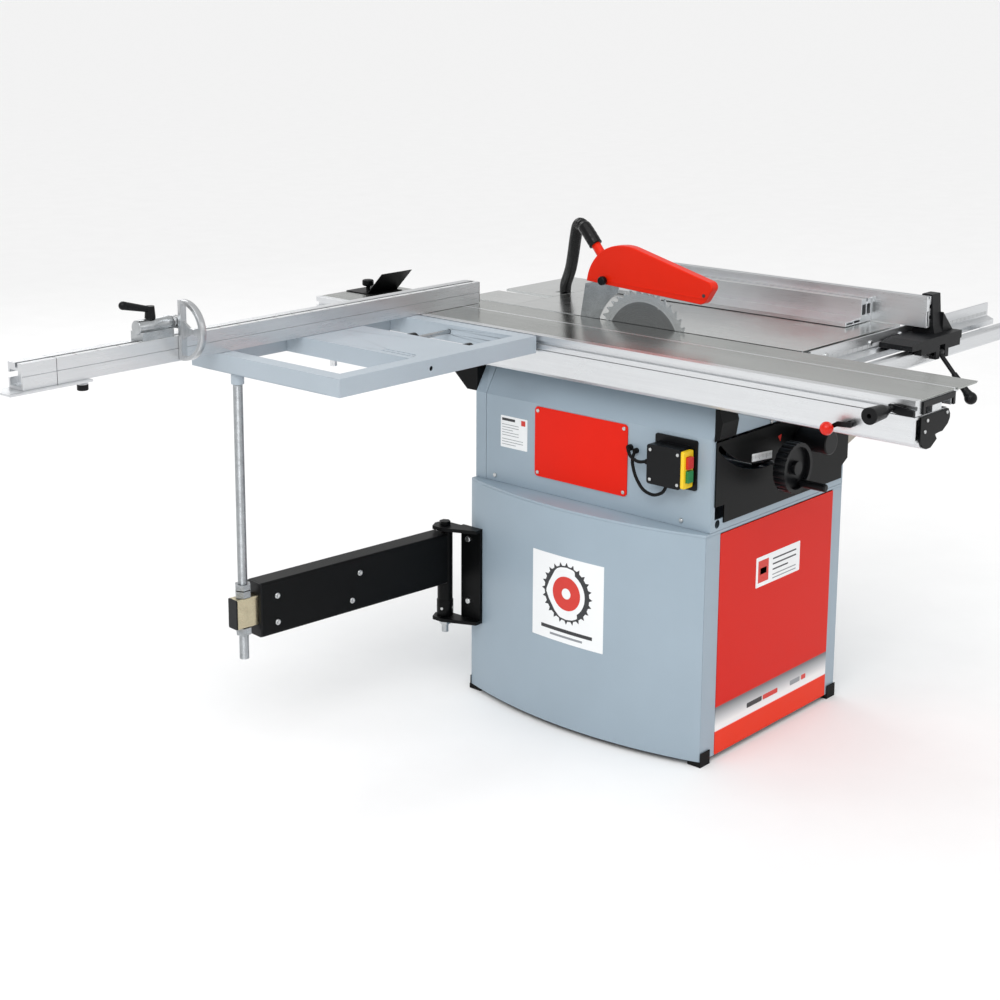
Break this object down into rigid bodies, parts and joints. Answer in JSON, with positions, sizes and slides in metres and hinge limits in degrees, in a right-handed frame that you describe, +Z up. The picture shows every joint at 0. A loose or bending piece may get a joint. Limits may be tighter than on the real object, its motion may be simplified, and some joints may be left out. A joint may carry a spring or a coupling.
{
  "type": "sliding table saw",
  "caption": "Sliding table saw on a steel cabinet, with outrigger frame, crosscut fence, rip fence, tilting blade, guard and swing arm support.",
  "frame": {"origin": "centre of the machine's whole footprint, on the floor", "axes": "+X to the operator's right, along the crosscut fence; +Y the feed direction; +Z up"},
  "size_m": [2.108, 1.6024, 1.089],
  "materials": {
    "light_grey_paint": "powder-coated light blue-grey sheet",
    "frame_grey_paint": "powder-coated pale blue-grey tube",
    "red_paint": "red powder coat",
    "guard_red": "moulded orange-red",
    "black_paint": "black textured powder coat",
    "black_plastic": "moulded black plastic",
    "rubber_feet": "black rubber",
    "cast_table": "ground bright cast iron",
    "anodised": "anodised extrusion",
    "ground_steel": "ground steel strip",
    "zinc": "bright zinc plate",
    "blade_steel": "ground and lacquered saw steel",
    "cast_black": "black painted casting",
    "motor_paint": "grey-blue painted motor casting",
    "yellow_plastic": "yellow plastic",
    "button_red": "red plastic",
    "button_green": "green plastic",
    "ball_red": "red ball knob",
    "hose_plastic": "black corrugated hose",
    "cable_rubber": "black cable sheath",
    "belt_rubber": "ribbed rubber belt",
    "bright_cast_alu": "die-cast aluminium"
  },
  "bodies": {
    "machine": {"corner_feet": "rubber_feet", "cabinet_frame": "light_grey_paint", "cabinet_left_panel": "light_grey_paint", "cabinet_rear_wrap": "light_grey_paint", "front_door_panel": "red_paint", "casing_left_wall": "light_grey_paint", "casing_rear_wrap": "light_grey_paint", "casing_front_frame": "light_grey_paint", "control_panel": "black_paint", "service_plate": "red_paint", "machine_screws": "zinc", "table_gusset": "light_grey_paint", "main_table": "cast_table", "rear_extension": "cast_table", "slider_base": "anodised", "slider_fittings": "black_paint", "scale_rail": "anodised", "rail_tube": "anodised", "trunnion_segments": "cast_black", "switch_box": "black_plastic", "switch_faceplate": "yellow_plastic", "switch_leads": "cable_rubber", "arm_bracket": "black_paint", "dust_chute": "black_plastic", "dust_hose": "hose_plastic"},
    "tilt_unit": {"tilt_carrier": "cast_black"},
    "lift_unit": {"lift_plate": "cast_black", "motor": "motor_paint", "riving_knife": "zinc", "drive_belt": "belt_rubber"},
    "blade": {"saw_blade": "blade_steel", "arbor": "ground_steel"},
    "motor_rotor": {"motor_pulley": "ground_steel"},
    "guard": {"blade_guard": "guard_red", "guard_knob": "black_plastic"},
    "handwheel": {"handwheel": "black_plastic"},
    "tilt_lock": {"tilt_knob": "black_plastic"},
    "carriage": {"carriage_profile": "anodised", "carriage_top": "ground_steel", "carriage_ends": "black_plastic", "push_handle": "black_plastic", "outrigger_frame": "frame_grey_paint"},
    "slider_lock": {"lock_lever": "ball_red"},
    "front_clamp": {"cam_clamp_front": "zinc"},
    "rear_clamp": {"cam_clamp_rear": "zinc"},
    "crosscut": {"crosscut_fence": "anodised"},
    "extension": {"fence_extension": "anodised"},
    "stop_slide": {"stop_carrier": "zinc"},
    "stop_plate": {"flip_stop": "bright_cast_alu"},
    "stop_clamp": {"stop_lever": "black_plastic"},
    "shoe": {"edging_shoe": "black_paint"},
    "arm": {"arm_tube": "black_paint"},
    "arm_inner": {"arm_slide": "zinc", "support_rod": "zinc"},
    "rip_fence": {"rip_head": "cast_black"},
    "rip_rail": {"rip_profiles": "anodised"},
    "rip_lock": {"rip_lever": "black_plastic"},
    "rip_clamp": {"rip_knob": "black_plastic"},
    "start": {"start_button": "button_green"},
    "stop": {"stop_button": "button_red"}
  },
  "joints": [
    {"name": "blade_tilt", "type": "hinge", "parent": "machine", "child": "tilt_unit", "pos_m": [0.265, 0.0012, 0.8686], "axis": [0, 1, 0], "range_deg": [0, 45], "deforming": ["dust_hose"]},
    {"name": "height_wheel", "type": "hinge", "parent": "tilt_unit", "child": "handwheel", "pos_m": [0.28, -0.3988, 0.617], "axis": [0, 1, 0], "range_deg": [-4320, 0]},
    {"name": "blade_lift", "type": "slide", "parent": "tilt_unit", "child": "lift_unit", "axis": [0, 0, 1], "range_m": [-0.052, 0], "deforming": ["dust_hose"]},
    {"name": "blade_spin", "type": "hinge", "parent": "lift_unit", "child": "blade", "pos_m": [0.265, 0.0012, 0.8236], "axis": [1, 0, 0], "continuous": true},
    {"name": "motor_spin", "type": "hinge", "parent": "lift_unit", "child": "motor_rotor", "pos_m": [0.378, 0.1512, 0.7286], "axis": [1, 0, 0], "continuous": true},
    {"name": "guard_hinge", "type": "hinge", "parent": "lift_unit", "child": "guard", "pos_m": [0.265, 0.1012, 0.96], "axis": [1, 0, 0], "range_deg": [-12, 0], "deforming": ["dust_hose"]},
    {"name": "tilt_lock_turn", "type": "hinge", "parent": "machine", "child": "tilt_lock", "pos_m": [0.391, -0.3688, 0.652], "axis": [0, 1, 0], "range_deg": [0, 180]},
    {"name": "carriage_slide", "type": "slide", "parent": "machine", "child": "carriage", "axis": [0, 1, 0], "range_m": [-0.75, 0.6]},
    {"name": "slider_lock_turn", "type": "hinge", "parent": "machine", "child": "slider_lock", "pos_m": [0.028, -0.6678, 0.806], "axis": [1, 0, 0], "range_deg": [-90, 0]},
    {"name": "front_clamp_turn", "type": "hinge", "parent": "carriage", "child": "front_clamp", "pos_m": [-0.072, 0.1612, 0.853], "axis": [1, 0, 0], "range_deg": [0, 60]},
    {"name": "rear_clamp_turn", "type": "hinge", "parent": "carriage", "child": "rear_clamp", "pos_m": [-0.072, 0.3232, 0.853], "axis": [1, 0, 0], "range_deg": [0, 60]},
    {"name": "crosscut_swing", "type": "hinge", "parent": "carriage", "child": "crosscut", "pos_m": [-0.22, 0.4742, 0.88], "axis": [0, 0, 1], "range_deg": [-30, 20]},
    {"name": "extension_slide", "type": "slide", "parent": "crosscut", "child": "extension", "axis": [-1, 0, 0], "range_m": [0, 0.4]},
    {"name": "stop_travel", "type": "slide", "parent": "crosscut", "child": "stop_slide", "axis": [1, 0, 0], "range_m": [-0.18, 0.6]},
    {"name": "stop_flip", "type": "hinge", "parent": "stop_slide", "child": "stop_plate", "pos_m": [-0.652, 0.4732, 0.945], "axis": [1, 0, 0], "range_deg": [-100, 0]},
    {"name": "stop_clamp_turn", "type": "hinge", "parent": "stop_slide", "child": "stop_clamp", "pos_m": [-0.709, 0.4732, 0.965], "axis": [0, 0, 1], "range_deg": [-60, 60]},
    {"name": "shoe_travel", "type": "slide", "parent": "carriage", "child": "shoe", "axis": [0, 1, 0], "range_m": [-0.12, 0]},
    {"name": "arm_swing", "type": "hinge", "parent": "machine", "child": "arm", "pos_m": [0.016, 0.3642, 0.28], "axis": [0, 0, 1], "range_deg": [-46, 58]},
    {"name": "arm_telescope", "type": "slide", "parent": "arm", "child": "arm_inner", "axis": [-0.9953, 0.097, 0], "range_m": [0, 0.2]},
    {"name": "rip_travel", "type": "slide", "parent": "machine", "child": "rip_fence", "axis": [1, 0, 0], "range_m": [-0.25, 0.25]},
    {"name": "rip_rail_travel", "type": "slide", "parent": "rip_fence", "child": "rip_rail", "axis": [0, 1, 0], "range_m": [-0.2, 0.1]},
    {"name": "rip_lock_lift", "type": "hinge", "parent": "rip_fence", "child": "rip_lock", "pos_m": [0.678, -0.4968, 0.818], "axis": [1, 0, 0], "range_deg": [-45, 0]},
    {"name": "rip_clamp_turn", "type": "hinge", "parent": "rip_fence", "child": "rip_clamp", "pos_m": [0.728, -0.4428, 0.88], "axis": [1, 0, 0], "range_deg": [0, 180]},
    {"name": "start_press", "type": "slide", "parent": "machine", "child": "start", "axis": [0, 1, 0], "range_m": [0, 0.003], "stiffness_N_per_m": 400},
    {"name": "stop_press", "type": "slide", "parent": "machine", "child": "stop", "axis": [0, 1, 0], "range_m": [0, 0.003], "stiffness_N_per_m": 400}
  ],
  "couplings": [
    {"joint": "height_wheel", "follows": "blade_lift", "rad_per_m": 1450},
    {"joint": "motor_spin", "follows": "blade_spin", "ratio": 0.82353},
    {"joint": "arm_swing", "follows": "carriage_slide", "rad_per_m": -1.3}
  ]
}
